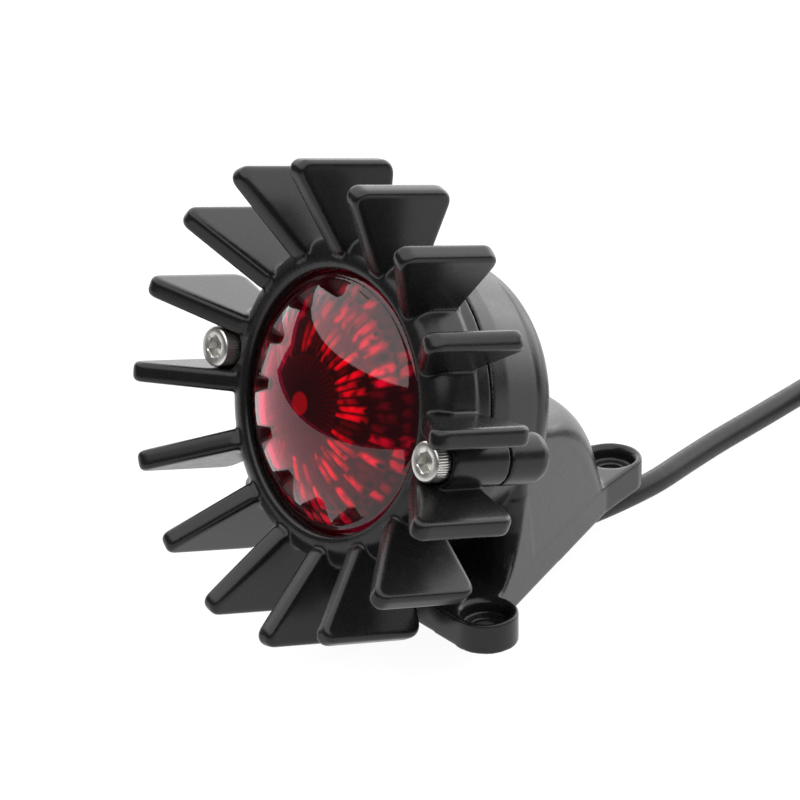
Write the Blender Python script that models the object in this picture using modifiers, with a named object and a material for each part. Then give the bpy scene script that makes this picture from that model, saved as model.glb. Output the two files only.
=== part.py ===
"""Finned round motorcycle tail light on a three-eared foot, with its lead.

Row frame: the origin is the centre of the mounting face, +Z is up off that face and
-Y is the side that the lens looks towards. The lamp's own axis is tilted up by
LAMP_TILT. Sizes are in millimetres here and become metres in the mesh helpers.

Turned pieces are drawn as (radius, depth) outlines in the lamp's own frame, where depth
runs backwards along the lamp axis from the rim of the lens opening.
"""
import math

import bmesh
import bpy
from mathutils import Matrix, Vector

MM = 0.001
GAP = 0.3
MERGE = 0.00001

# Where the lamp head sits over the foot
LAMP_TILT = math.radians(15.0)
LAMP_CENTRE = (0.0, -31.7, 42.3)

# Finned bezel
RIM_INNER_R = 27.3
HUB_R = 33.8
BORE_R = 29.5
SEAM_DEPTH = 14.6
FIN_COUNT = 16
FIN_TIP_R = 50.0
FIN_ROOT_R = 30.2
FIN_ROOT_FRONT = -1.35
FIN_TIP_FRONT = -16.1
FIN_TIP_REAR = 11.55
FIN_ROOT_REAR = 10.95
FIN_TIP_T = 4.3
FIN_ROOT_T = 4.65
FIN_FRONT_CORNER_R = 2.3
FIN_REAR_CORNER_R = 3.0
FIN_EDGE = 0.6

# Two M5 cap screws through bosses on the lamp's left and right
SCREW_X = 35.2
BOSS_R = 5.6
SCREW_HEAD_R = 4.25
SCREW_HEAD_FRONT = -3.7
SCREW_SEAT = 1.6
SCREW_SHANK_R = 2.4
SCREW_END = 21.5
HEX_ACROSS_FLATS = 4.0

# Foot: three ears round the neck, which stands on the plate
EARS = ((37.93, -21.9), (0.0, 43.8), (-36.0, -19.2))
EAR_R = 6.75
EAR_T = 6.6
COUNTERBORE_R = 4.8
COUNTERBORE_FLOOR = 3.4
BOLT_HOLE_R = 2.75
NECK_SIDE = math.radians(26.3)
NECK_FRONT_X = 31.26
NECK_FRONT_Y = -8.5
NECK_REAR_Y = 34.8
SHOULDER_Y = 7.5
SHOULDER_Z = 7.5
SHOULDER_R = 26.2
FLOOR_T = 3.2
WALL_T = 3.0
# Height on the foot and how far the surface there stands out from the neck
FLARE = ((6.7, 6.2), (7.4, 5.2), (8.4, 4.2), (10.0, 3.0), (12.5, 1.9), (16.0, 1.0), (20.0, 0.4), (24.0, 0.1))

# Lead
LEAD_D = 5.4
LEAD_Z = -5.55
EXIT_SLOPE = math.radians(37.0)
EXIT_Y = 14.0
EXIT_INSIDE = 16.0
GROMMET_END = 2.0
COIL_CENTRE = (11.1, 145.6)
COIL_START_R = 33.5
COIL_END_R = 22.8
COIL_START_ANGLE = math.radians(193.1)
COIL_TOP_R = 29.0
CORE_D = 1.6

PARTS = None
CUTTERS = None


# ---------------------------------------------------------------- scene and helpers
def fresh_collections():
    """Empty the scene and make the two collections."""
    for obj in list(bpy.data.objects):
        bpy.data.objects.remove(obj)
    made = []
    for name in ("tail_light", "cutters"):
        collection = bpy.data.collections.new(name)
        bpy.context.scene.collection.children.link(collection)
        made.append(collection)
    return made


def material(name, colour, roughness, metallic=0.0):
    """A Principled material, made once for each name."""
    found = bpy.data.materials.get(name)
    if found:
        return found
    made = bpy.data.materials.new(name)
    made.use_nodes = True
    shader = made.node_tree.nodes["Principled BSDF"]
    shader.inputs["Base Color"].default_value = (*colour, 1.0)
    shader.inputs["Roughness"].default_value = roughness
    shader.inputs["Metallic"].default_value = metallic
    made.diffuse_color = (*colour, 1.0)
    return made


def add_object(name, mesh, look=None, parent=None, cutter=False):
    """Put a mesh in the scene as a part, or as a hidden cutter or guide."""
    obj = bpy.data.objects.new(name, mesh)
    (CUTTERS if cutter else PARTS).objects.link(obj)
    obj.parent = parent
    if cutter:
        obj.hide_render = True
        obj.display_type = "WIRE"
    elif look:
        obj.data.materials.append(look)
    return obj


def outline_mesh(name, outline, closed):
    """Edges along a (radius, depth) outline, front edge at the top."""
    points = [(radius * MM, 0.0, -depth * MM) for radius, depth in outline]
    edges = [(i, i + 1) for i in range(len(points) - 1)]
    if closed:
        edges.append((len(points) - 1, 0))
    mesh = bpy.data.meshes.new(name)
    mesh.from_pydata(points, edges, [])
    return mesh


def turned(name, outline, look=None, steps=64, closed=False, parent=None, cutter=False):
    """A turned solid: the outline swept round Z by a Screw modifier."""
    obj = add_object(name, outline_mesh(name, outline, closed), look, parent, cutter)
    screw = obj.modifiers.new("turn", "SCREW")
    screw.axis = "Z"
    screw.angle = math.tau
    screw.steps = steps
    screw.render_steps = steps
    screw.use_merge_vertices = True
    screw.merge_threshold = MERGE
    screw.use_smooth_shade = False
    return obj


def prism_mesh(name, outline, bottom, top):
    """A flat outline in X and Y, extruded from bottom to top."""
    bm = bmesh.new()
    base = [bm.verts.new((x * MM, y * MM, bottom * MM)) for x, y in outline]
    face = bm.faces.new(base)
    moved = bmesh.ops.extrude_face_region(bm, geom=[face])["geom"]
    lifted = [part for part in moved if isinstance(part, bmesh.types.BMVert)]
    bmesh.ops.translate(bm, verts=lifted, vec=(0.0, 0.0, (top - bottom) * MM))
    bmesh.ops.recalc_face_normals(bm, faces=bm.faces[:])
    mesh = bpy.data.meshes.new(name)
    bm.to_mesh(mesh)
    bm.free()
    return mesh


def cylinder_mesh(name, radius, length, segments=32, top_radius=None):
    """A capped cylinder or cone along Z, centred on the origin."""
    bm = bmesh.new()
    upper = radius if top_radius is None else top_radius
    bmesh.ops.create_cone(
        bm, cap_ends=True, segments=segments, radius1=radius * MM, radius2=upper * MM, depth=length * MM
    )
    mesh = bpy.data.meshes.new(name)
    bm.to_mesh(mesh)
    bm.free()
    return mesh


def box_mesh(name, size):
    """A box of the given size, centred on the origin."""
    bm = bmesh.new()
    bmesh.ops.create_cube(bm, size=1.0)
    bmesh.ops.scale(bm, verts=bm.verts[:], vec=[side * MM for side in size])
    mesh = bpy.data.meshes.new(name)
    bm.to_mesh(mesh)
    bm.free()
    return mesh


def bore(name, x, y, front, rear, radius, segments=32, parent=None):
    """A round cutter along the lamp's depth, or along Z when it has no parent."""
    length = rear - front
    cutter = add_object(name, cylinder_mesh(name, radius, length, segments), parent=parent, cutter=True)
    cutter.location = (x * MM, y * MM, -(front + rear) / 2 * MM)
    return cutter


def combine(target, operation, *others):
    """Boolean modifiers on target, one for each other object."""
    for other in others:
        step = target.modifiers.new(operation.lower() + "_" + other.name, "BOOLEAN")
        step.operation = operation
        step.object = other
        step.solver = "EXACT"


def round_edges(obj, width, segments=1, limit=40.0):
    """A Bevel on the edges sharper than the limit, in degrees."""
    bevel = obj.modifiers.new("round", "BEVEL")
    bevel.width = width * MM
    bevel.segments = segments
    bevel.limit_method = "ANGLE"
    bevel.angle_limit = math.radians(limit)


def arc(centre_x, centre_y, radius, start, end, steps):
    """Points on an arc, in degrees."""
    angles = [math.radians(start + (end - start) * i / steps) for i in range(steps + 1)]
    return [(centre_x + radius * math.cos(a), centre_y + radius * math.sin(a)) for a in angles]


def rounded_corner(before, corner, after, radius, steps):
    """Points that round one corner of an outline."""
    here = Vector(corner)
    to_before = (Vector(before) - here).normalized()
    to_after = (Vector(after) - here).normalized()
    half = to_before.angle(to_after) / 2
    reach = radius / math.tan(half)
    centre = here + (to_before + to_after).normalized() * radius / math.sin(half)
    first = here + to_before * reach - centre
    turn = to_before.angle_signed(to_after)
    sweep = math.copysign(math.pi - 2 * half, turn)
    rotations = [Matrix.Rotation(sweep * i / steps, 2) for i in range(steps + 1)]
    return [tuple(centre + rotation @ first) for rotation in rotations]


def tube(name, route, diameter, look, parent=None, sides=2):
    """A capped tube along points in millimetres."""
    curve = bpy.data.curves.new(name, "CURVE")
    curve.dimensions = "3D"
    curve.bevel_depth = diameter / 2 * MM
    curve.bevel_resolution = sides
    curve.use_fill_caps = True
    spline = curve.splines.new("POLY")
    spline.points.add(len(route) - 1)
    for point, place in zip(spline.points, route):
        point.co = (*[value * MM for value in place], 1.0)
    return add_object(name, curve, look, parent)


def smooth_route(points, spacing):
    """Points a fixed distance apart on a smooth curve through the given ones."""
    knots = [Vector(point) for point in points]
    knots = [2 * knots[0] - knots[1]] + knots + [2 * knots[-1] - knots[-2]]
    dense = []
    for a, b, c, d in zip(knots, knots[1:], knots[2:], knots[3:]):
        for i in range(24):
            t = i / 24
            dense.append(
                0.5 * (2 * b + (c - a) * t + (2 * a - 5 * b + 4 * c - d) * t**2 + (3 * b - a - 3 * c + d) * t**3)
            )
    dense.append(knots[-2])
    chosen = [dense[0]]
    for place in dense:
        if (place - chosen[-1]).length >= spacing:
            chosen.append(place)
    chosen[-1] = dense[-1]
    return [tuple(place) for place in chosen]


# ---------------------------------------------------------------- lamp head
def lamp_frame():
    """An empty whose +Z is the way the lens looks."""
    empty = bpy.data.objects.new("lamp_axis", None)
    PARTS.objects.link(empty)
    empty.location = [value * MM for value in LAMP_CENTRE]
    empty.rotation_euler = (math.pi / 2 - LAMP_TILT, 0.0, 0.0)
    return empty


def dome(apex, edge_r, edge_depth, steps):
    """Outline points of a spherical cap from its apex out to its edge."""
    rise = edge_depth - apex
    ball = (edge_r**2 + rise**2) / (2 * rise)
    radii = [edge_r * i / steps for i in range(steps + 1)]
    return [(radius, apex + ball - math.sqrt(ball**2 - radius**2)) for radius in radii]


def fin_outline():
    """One fin's side view: radius outwards, depth backwards."""
    root_front = (FIN_ROOT_R, FIN_ROOT_FRONT)
    tip_front = (FIN_TIP_R, FIN_TIP_FRONT)
    tip_rear = (FIN_TIP_R, FIN_TIP_REAR)
    root_rear = (FIN_ROOT_R + 0.8, FIN_ROOT_REAR)
    points = [(FIN_ROOT_R, 0.4), root_front]
    points += rounded_corner(root_front, tip_front, tip_rear, FIN_FRONT_CORNER_R, 2)
    points += rounded_corner(tip_front, tip_rear, root_rear, FIN_REAR_CORNER_R, 2)
    return points + [root_rear]


def fin_set(parent):
    """All the fins as one guide, ready to be joined to the hub."""
    outline = fin_outline()
    taper = (FIN_TIP_T - FIN_ROOT_T) / (FIN_TIP_R - FIN_ROOT_R)
    bm = bmesh.new()
    for index in range(FIN_COUNT):
        half = [(FIN_ROOT_T + taper * (radius - FIN_ROOT_R)) / 2 for radius, _ in outline]
        near = [bm.verts.new((r * MM, -t * MM, -d * MM)) for (r, d), t in zip(outline, half)]
        face = bm.faces.new(near)
        grown = bmesh.ops.extrude_face_region(bm, geom=[face])["geom"]
        far = [part for part in grown if isinstance(part, bmesh.types.BMVert)]
        for vert in far:
            vert.co.y = -vert.co.y
        turn = Matrix.Rotation(math.tau * (index + 0.5) / FIN_COUNT, 3, "Z")
        bmesh.ops.rotate(bm, verts=near + far, cent=(0, 0, 0), matrix=turn)
    bmesh.ops.recalc_face_normals(bm, faces=bm.faces[:])
    mesh = bpy.data.meshes.new("fins")
    bm.to_mesh(mesh)
    bm.free()
    fins = add_object("fins", mesh, parent=parent, cutter=True)
    round_edges(fins, FIN_EDGE)
    return fins


def finned_bezel(lamp):
    """Front casting: rim, hub, sixteen fins and two screw bosses."""
    outline = [
        (RIM_INNER_R, 1.0), (RIM_INNER_R, 0.3), (27.8, -0.3), (28.6, -0.5), (29.9, -0.5),
        (30.6, -0.1), (30.9, 0.7), (32.4, 0.8), (33.4, 1.4), (HUB_R, 2.6), (HUB_R, 10.2),
        (33.2, 10.7), (33.2, SEAM_DEPTH), (BORE_R, SEAM_DEPTH), (BORE_R, 1.6), (RIM_INNER_R, 1.6),
    ]
    look = material("satin_black_casting", (0.018, 0.018, 0.02), 0.38)
    bezel = turned("finned_bezel", outline, look, steps=48, closed=True, parent=lamp)
    combine(bezel, "UNION", fin_set(lamp))
    for side, x in (("right", SCREW_X), ("left", -SCREW_X)):
        boss = bore("bezel_boss_" + side, x, 0, -0.4, SEAM_DEPTH, BOSS_R, 24, lamp)
        seat = bore("bezel_seat_" + side, x, 0, -6.0, SCREW_SEAT, SCREW_HEAD_R + 0.27, 32, lamp)
        hole = bore("bezel_hole_" + side, x, 0, 0.0, SEAM_DEPTH + 2, SCREW_SHANK_R + 0.35, 16, lamp)
        combine(bezel, "UNION", boss)
        combine(bezel, "DIFFERENCE", seat, hole)
    return bezel


def lens_and_optics(lamp):
    """Lens gasket, red lens, inner optic and reflector, from the front backwards."""
    rubber = material("black_rubber", (0.02, 0.02, 0.02), 0.7)
    red = material("red_lens", (0.35, 0.0, 0.008), 0.05)
    clear = material("prism_optic", (0.5, 0.02, 0.03), 0.1)
    silver = material("metallised_reflector", (0.8, 0.8, 0.8), 0.15, 1.0)
    edge = BORE_R - GAP
    turned("lens_gasket", [(27.6, 1.85), (edge, 1.85), (edge, 2.4), (27.6, 2.4)], rubber, 32, True, lamp)

    front = dome(-10.0, 25.6, 0.5, 8)
    back = dome(-8.0, 24.4, 2.4, 5)
    shoulder = [(26.9, 1.3), (26.9, 2.7), (edge, 2.7), (edge, 4.0), (26.6, 4.0)]
    turned("lens", front + shoulder + back[::-1], red, 40, parent=lamp)

    front = dome(-7.4, 25.0, 3.4, 5)
    back = dome(-6.1, 24.6, 4.7, 5)
    rim = [(26.6, 4.3), (edge, 4.3), (edge, 5.2), (26.2, 5.2)]
    turned("inner_optic", front + rim + back[::-1], clear, 32, parent=lamp)

    bowl = [(16.0, 9.3), (20.0, 8.2), (24.0, 6.8), (26.6, 5.5), (edge, 5.5), (edge, 9.7), (16.0, 9.7)]
    reflector = turned("reflector", bowl, silver, 32, True, lamp)
    for x, y in board_screw_places():
        combine(reflector, "DIFFERENCE", bore("reflector_hole", x, y, 7.4, 11.0, 1.15, 12, lamp))


def board_screw_places():
    """Three screws on a circle, clear of the lead's wires below."""
    return [(24.0 * math.cos(math.radians(a)), 24.0 * math.sin(math.radians(a))) for a in (90, 210, 330)]


def light_engine(lamp):
    """Board with its lamps, driver parts, screws and clamp ring."""
    board_look = material("board_white", (0.7, 0.72, 0.7), 0.4)
    steel = material("plated_steel", (0.55, 0.55, 0.57), 0.3, 1.0)
    package = material("led_package", (0.75, 0.7, 0.45), 0.35)
    ceramic = material("black_component", (0.03, 0.03, 0.03), 0.5)
    rubber = material("black_rubber", (0.02, 0.02, 0.02), 0.7)
    board = add_object("led_board", cylinder_mesh("led_board", 28.8, 1.6, 40), board_look, lamp)
    board.location.z = -10.8 * MM
    for x, y in board_screw_places():
        combine(board, "DIFFERENCE", bore("board_hole", x, y, 9.0, 13.0, 1.15, 12, lamp))

    lens_cap = [(0.0, 6.6), (1.4, 6.9), (2.4, 7.8), (2.6, 8.6), (3.4, 8.6), (3.4, 9.7), (0.0, 9.7)]
    turned("led_centre", lens_cap, package, 20, parent=lamp)
    small_cap = [(0.0, 7.7), (1.0, 7.95), (1.6, 8.7), (2.1, 8.8), (2.1, 9.7), (0.0, 9.7)]
    for index in range(6):
        angle = math.tau * index / 6
        led = turned(f"led_{index + 1}", small_cap, package, 12, parent=lamp)
        led.location = (11.0 * MM * math.cos(angle), 11.0 * MM * math.sin(angle), 0.0)

    for index, (x, y) in enumerate(board_screw_places()):
        head = [(0.0, 13.0), (0.85, 13.0), (1.5, 12.6), (1.7, 11.9), (0.85, 11.9), (0.85, 7.7), (0.0, 7.7)]
        screw = turned(f"board_screw_{index + 1}", head[::-1], steel, 12, parent=lamp)
        screw.location = (x * MM, y * MM, 0.0)

    behind = 11.6 + GAP
    pieces = [
        ("driver_chip", (5.0, 4.0, 1.5), (0.0, 9.0)),
        ("resistor_1", (3.2, 1.6, 0.7), (-9.0, 10.0)),
        ("resistor_2", (3.2, 1.6, 0.7), (9.0, 10.0)),
        ("resistor_3", (3.2, 1.6, 0.7), (-9.0, 5.0)),
        ("resistor_4", (3.2, 1.6, 0.7), (9.0, 5.0)),
        ("diode", (4.3, 2.6, 1.2), (0.0, 2.5)),
    ]
    for name, size, (x, y) in pieces:
        piece = add_object(name, box_mesh(name, size), ceramic, lamp)
        piece.location = (x * MM, y * MM, -(behind + size[2] / 2) * MM)

    turned("clamp_ring", [(27.0, 11.95), (28.7, 11.95), (28.7, 12.5), (27.0, 12.5)], rubber, 32, True, lamp)


def cap_screws(lamp):
    """Two socket-head screws that hold the bezel to the housing."""
    steel = material("stainless_steel", (0.62, 0.6, 0.57), 0.25, 1.0)
    seat = SCREW_SEAT - GAP
    outline = [
        (0.0, SCREW_HEAD_FRONT), (SCREW_HEAD_R - 0.4, SCREW_HEAD_FRONT),
        (SCREW_HEAD_R, SCREW_HEAD_FRONT + 0.4), (SCREW_HEAD_R, seat), (SCREW_SHANK_R, seat),
        (SCREW_SHANK_R, SCREW_END), (SCREW_SHANK_R - 0.6, SCREW_END + 0.6), (0.0, SCREW_END + 0.6),
    ]
    socket_r = HEX_ACROSS_FLATS / 2 / math.cos(math.pi / 6)
    for side, x in (("right", SCREW_X), ("left", -SCREW_X)):
        screw = turned("cap_screw_" + side, outline, steel, 24, parent=lamp)
        screw.location.x = x * MM
        socket = bore("hex_socket_" + side, x, 0, SCREW_HEAD_FRONT - 1, SCREW_HEAD_FRONT + 2.5, socket_r, 6, lamp)
        combine(screw, "DIFFERENCE", socket)


def housing_seal(lamp):
    """O-ring in the housing's front groove."""
    centre_r, centre_depth, radius = 30.8, 15.6, 0.68
    ring = [(centre_r + radius * math.cos(a), centre_depth + radius * math.sin(a)) for a in hexagon()]
    look = material("black_rubber", (0.02, 0.02, 0.02), 0.7)
    turned("housing_seal", ring, look, 32, True, lamp)


def hexagon():
    """Six angles round a small section."""
    return [math.tau * (index + 0.5) / 6 for index in range(6)]


# ---------------------------------------------------------------- rear housing and foot
def neck_section(rear, inset, corner=9.0):
    """The neck's plan at one height: straight tapering sides and rounded corners."""
    slope = math.tan(NECK_SIDE)
    shrink = inset / math.cos(NECK_SIDE)
    front = NECK_FRONT_Y + inset
    rear = rear - inset
    front_x = NECK_FRONT_X - slope * (front - NECK_FRONT_Y) - shrink
    rear_x = NECK_FRONT_X - slope * (rear - NECK_FRONT_Y) - shrink
    right_front, right_rear = (front_x, front), (rear_x, rear)
    left_front, left_rear = (-front_x, front), (-rear_x, rear)
    front_r = max(3.5 - inset * 0.5, 0.8)
    depth = rear - front
    rear_r = min(corner - inset, 0.9 * depth, 1.5 * rear_x)
    points = rounded_corner(left_front, right_front, right_rear, front_r, 3)
    points += rounded_corner(right_front, right_rear, left_rear, rear_r, 6)
    points += rounded_corner(right_rear, left_rear, left_front, rear_r, 6)
    return points + rounded_corner(left_rear, left_front, right_front, front_r, 3)


def loft_mesh(name, sections):
    """A closed solid through sections with equal point counts: (height, points)."""
    bm = bmesh.new()
    rings = [[bm.verts.new((x * MM, y * MM, z * MM)) for x, y in points] for z, points in sections]
    for lower, upper in zip(rings, rings[1:]):
        count = len(lower)
        for i in range(count):
            j = (i + 1) % count
            bm.faces.new((lower[i], lower[j], upper[j], upper[i]))
    bm.faces.new(rings[0][::-1])
    bm.faces.new(rings[-1])
    bmesh.ops.recalc_face_normals(bm, faces=bm.faces[:])
    mesh = bpy.data.meshes.new(name)
    bm.to_mesh(mesh)
    bm.free()
    return mesh


def neck_outside():
    """The neck's outer shape, with its round shoulder behind the lamp."""
    sections = [(1.5, neck_section(NECK_REAR_Y, 0.0)), (8.0, neck_section(NECK_REAR_Y - 0.4, 0.0))]
    for step in range(1, 9):
        angle = math.radians(8.0 + 9.2 * step)
        rear = SHOULDER_Y + SHOULDER_R * math.cos(angle)
        height = SHOULDER_Z + SHOULDER_R * math.sin(angle)
        corner = min(9.0 + 0.55 * (height - SHOULDER_Z), 24.0)
        sections.append((height, neck_section(rear, 0.0, corner)))
    return add_object("neck_outside", loft_mesh("neck_outside", sections), cutter=True)


def neck_inside():
    """The hollow that joins the lamp housing to the lead's hole."""
    sections = [(FLOOR_T, neck_section(NECK_REAR_Y, WALL_T)), (9.0, neck_section(NECK_REAR_Y - 0.4, WALL_T))]
    for angle in (20.0, 31.0, 42.0):
        rear = SHOULDER_Y + SHOULDER_R * math.cos(math.radians(angle))
        height = SHOULDER_Z + (SHOULDER_R - WALL_T) * math.sin(math.radians(angle))
        sections.append((height, neck_section(rear, WALL_T)))
    return add_object("neck_inside", loft_mesh("neck_inside", sections), cutter=True)


def foot_shape():
    """The foot's top: level over the ears, sweeping up to the neck at the front ones."""
    wide = neck_section(NECK_REAR_Y, -70.0)
    sections = [(-1.0, wide), (EAR_T, wide)]
    for height, reach in FLARE:
        sections.append((height, neck_section(-reach, -reach)))
    return add_object("foot_shape", loft_mesh("foot_shape", sections), cutter=True)


def plate_outline():
    """The foot's outline: three round ears with straight sides between them."""
    near, rear, far = EARS
    front = math.degrees(math.atan2(far[1] - near[1], far[0] - near[0])) - 270.0
    side = 90.0 + math.degrees(NECK_SIDE)
    outline = arc(*near, EAR_R, front, side, 12) + [(10.3, 34.0)]
    outline += arc(*rear, EAR_R, 14.0, 166.0, 10) + [(-10.3, 34.0)]
    return outline + arc(*far, EAR_R, 68.0, front + 360.0, 12)


def rear_housing(lamp):
    """Rear casting: lamp cup, neck, foot plate and screw bosses in one piece."""
    back = [(29.6 - 10.0 * (1 - math.cos(a)), 30.0 + 8.7 * math.sin(a)) for a in quarter_angles(5)]
    outside = [(0.0, 12.8), (29.1, 12.8), (29.1, SEAM_DEPTH + GAP), (33.1, SEAM_DEPTH + GAP)]
    outside += [(32.3, 20.0), (29.8, 29.5)] + back + [(0.0, 38.7)]
    look = material("satin_black_casting", (0.018, 0.018, 0.02), 0.38)
    housing = turned("rear_housing", outside, look, steps=48, parent=lamp)
    plate = add_object("foot_plate", prism_mesh("foot_plate", plate_outline(), 0.0, 23.0), cutter=True)
    combine(plate, "INTERSECT", foot_shape())
    room = [(29.0, 5.0), (37.0, 5.0), (37.0, SEAM_DEPTH + 0.5), (29.0, SEAM_DEPTH + 0.5)]
    combine(plate, "DIFFERENCE", turned("bezel_room", room, steps=80, closed=True, parent=lamp, cutter=True))
    combine(housing, "UNION", neck_outside(), plate)

    boss = [(0.0, SEAM_DEPTH + GAP), (BOSS_R, SEAM_DEPTH + GAP), (BOSS_R, 23.6), (5.0, 25.2), (3.4, 26.1), (0.0, 26.4)]
    for side, x in (("right", SCREW_X), ("left", -SCREW_X)):
        solid = turned("housing_boss_" + side, boss, steps=24, parent=lamp, cutter=True)
        solid.location.x = x * MM
        combine(housing, "UNION", solid)

    cup = [(0.0, 12.0), (26.8, 12.0), (26.6, 18.0), (25.4, 29.0), (22.5, 33.5), (18.0, 35.6), (0.0, 35.8)]
    cavity = turned("cup_inside", cup, steps=32, parent=lamp, cutter=True)
    groove_front = SEAM_DEPTH - 0.5
    groove = [(29.85, groove_front), (31.75, groove_front), (31.75, 16.6), (29.85, 16.6)]
    seal_groove = turned("seal_groove", groove, steps=32, closed=True, parent=lamp, cutter=True)
    combine(housing, "DIFFERENCE", cavity, neck_inside(), seal_groove)

    for index, (x, y) in enumerate(EARS):
        seat = bore(f"counterbore_{index}", x, y, -24.0, -COUNTERBORE_FLOOR, COUNTERBORE_R, 32)
        hole = bore(f"bolt_hole_{index}", x, y, -EAR_T, 2.0, BOLT_HOLE_R, 24)
        combine(housing, "DIFFERENCE", seat, hole)

    lead_hole = add_object("lead_hole", cylinder_mesh("lead_hole", 4.2, 30.0, 24), cutter=True)
    place_on_exit(lead_hole, 0.0)
    combine(housing, "DIFFERENCE", lead_hole)
    for side, x in (("right", SCREW_X), ("left", -SCREW_X)):
        hole = bore("screw_thread_" + side, x, 0, SEAM_DEPTH - 1, SCREW_END + 1.4, SCREW_SHANK_R + GAP, 16, lamp)
        combine(housing, "DIFFERENCE", hole)
    return housing


def quarter_angles(steps):
    """Angles from 0 to a quarter turn."""
    return [math.pi / 2 * i / steps for i in range(steps + 1)]


# ---------------------------------------------------------------- lead
def exit_point(distance):
    """A point on the slanted line on which the lead leaves the foot."""
    return (0.0, EXIT_Y + distance * math.cos(EXIT_SLOPE), -distance * math.sin(EXIT_SLOPE))


def place_on_exit(obj, distance):
    """Put an object on that line with its +Z pointing out of the foot."""
    obj.location = [value * MM for value in exit_point(distance)]
    obj.rotation_euler = (-(math.pi / 2 + EXIT_SLOPE), 0.0, 0.0)


def lead_route():
    """The lead's centreline from inside the neck to where it meets its coil."""
    start = [exit_point(-EXIT_INSIDE), exit_point(-9.0), exit_point(-3.0), exit_point(GROMMET_END)]
    laid = [
        (0.0, 21.5, -4.2), (-0.1, 28.6, LEAD_Z), (-0.5, 36.0, LEAD_Z), (-1.1, 46.0, LEAD_Z),
        (-2.9, 59.0, LEAD_Z), (-6.1, 71.0, LEAD_Z), (-9.2, 83.0, LEAD_Z), (-12.7, 99.0, LEAD_Z),
        (-16.2, 114.3, LEAD_Z), (-17.1, 118.0, LEAD_Z),
    ]
    return start + laid


def coil_point(turn, radius=None, height=LEAD_Z):
    """A point on the coil, turn counted in whole turns from its start."""
    share = turn / 1.9
    r = COIL_START_R + (COIL_END_R - COIL_START_R) * share if radius is None else radius
    angle = COIL_START_ANGLE - math.tau * turn
    return (COIL_CENTRE[0] + r * math.cos(angle), COIL_CENTRE[1] + r * math.sin(angle), height)


def lead(lamp):
    """The round lead, its grommet and clip, its coil and what is on its end."""
    jacket = material("lead_jacket", (0.03, 0.03, 0.032), 0.55)
    rubber = material("black_rubber", (0.02, 0.02, 0.02), 0.7)
    nylon = material("nylon_tie", (0.06, 0.06, 0.06), 0.45)
    bore_r = LEAD_D / 2 + GAP
    sleeve = [(bore_r, 0.0), (3.5, 0.0), (3.9, 1.5), (3.9, 13.0), (3.5, 14.0), (bore_r, 14.0)]
    grommet = turned("lead_grommet", sleeve, rubber, 20, closed=True)
    place_on_exit(grommet, GROMMET_END)
    clip_ring = [(bore_r, 0.0), (4.1, 0.0), (4.1, 2.5), (bore_r, 2.5)]
    clip = turned("lead_clip", clip_ring, nylon, 20, closed=True)
    place_on_exit(clip, -12.4)

    tube("lead", smooth_route(lead_route(), 5.0), LEAD_D, jacket)

    inner, outer = COIL_END_R - LEAD_D / 2, COIL_START_R + LEAD_D / 2
    half = LEAD_D / 2
    ring = [
        (inner + 1.6, -half), (outer - 1.6, -half), (outer, -half * 0.35), (outer, half * 0.35),
        (outer - 1.6, half), (inner + 1.6, half), (inner, half * 0.35), (inner, -half * 0.35),
    ]
    coil = turned("lead_coil", ring, jacket, 36, closed=True)
    coil.location = (COIL_CENTRE[0] * MM, COIL_CENTRE[1] * MM, LEAD_Z * MM)
    coil_tie(nylon, inner, outer, half)
    lead_end(jacket)
    inner_wires()


def coil_tie(look, inner, outer, half):
    """A tie wrapped round both turns of the coil, on its far side."""
    gap, thick, width = GAP, 0.6, 4.0
    low, high = inner - gap, outer + gap
    band = [
        (low, half * 0.35 + 0.3), (low + 1.4, half + gap), (high - 1.4, half + gap), (high, half * 0.35 + 0.3),
        (high, -half * 0.35 - 0.3), (high - 1.4, -half - gap), (low + 1.4, -half - gap), (low, -half * 0.35 - 0.3),
    ]
    middle = Vector(((low + high) / 2, 0.0))
    grow = [1 + thick / abs((high - low) / 2), 1 + thick / (half + gap)]
    bm = bmesh.new()
    loops = []
    for side in (-width / 2, width / 2):
        inside = [bm.verts.new((x * MM, side * MM, z * MM)) for x, z in band]
        wider = [
            bm.verts.new(((middle.x + (x - middle.x) * grow[0]) * MM, side * MM, z * grow[1] * MM)) for x, z in band
        ]
        loops.append((inside, wider))
    (in_a, out_a), (in_b, out_b) = loops
    for i in range(len(band)):
        j = (i + 1) % len(band)
        for a, b in ((out_a, out_b), (in_b, in_a), (in_a, out_a), (out_b, in_b)):
            bm.faces.new((a[i], a[j], b[j], b[i]))
    bmesh.ops.recalc_face_normals(bm, faces=bm.faces[:])
    mesh = bpy.data.meshes.new("coil_tie")
    bm.to_mesh(mesh)
    bm.free()
    tie = add_object("coil_tie", mesh, look)
    tie.location = (COIL_CENTRE[0] * MM, COIL_CENTRE[1] * MM, LEAD_Z * MM)
    tie.rotation_euler.z = math.radians(20.0)


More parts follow.
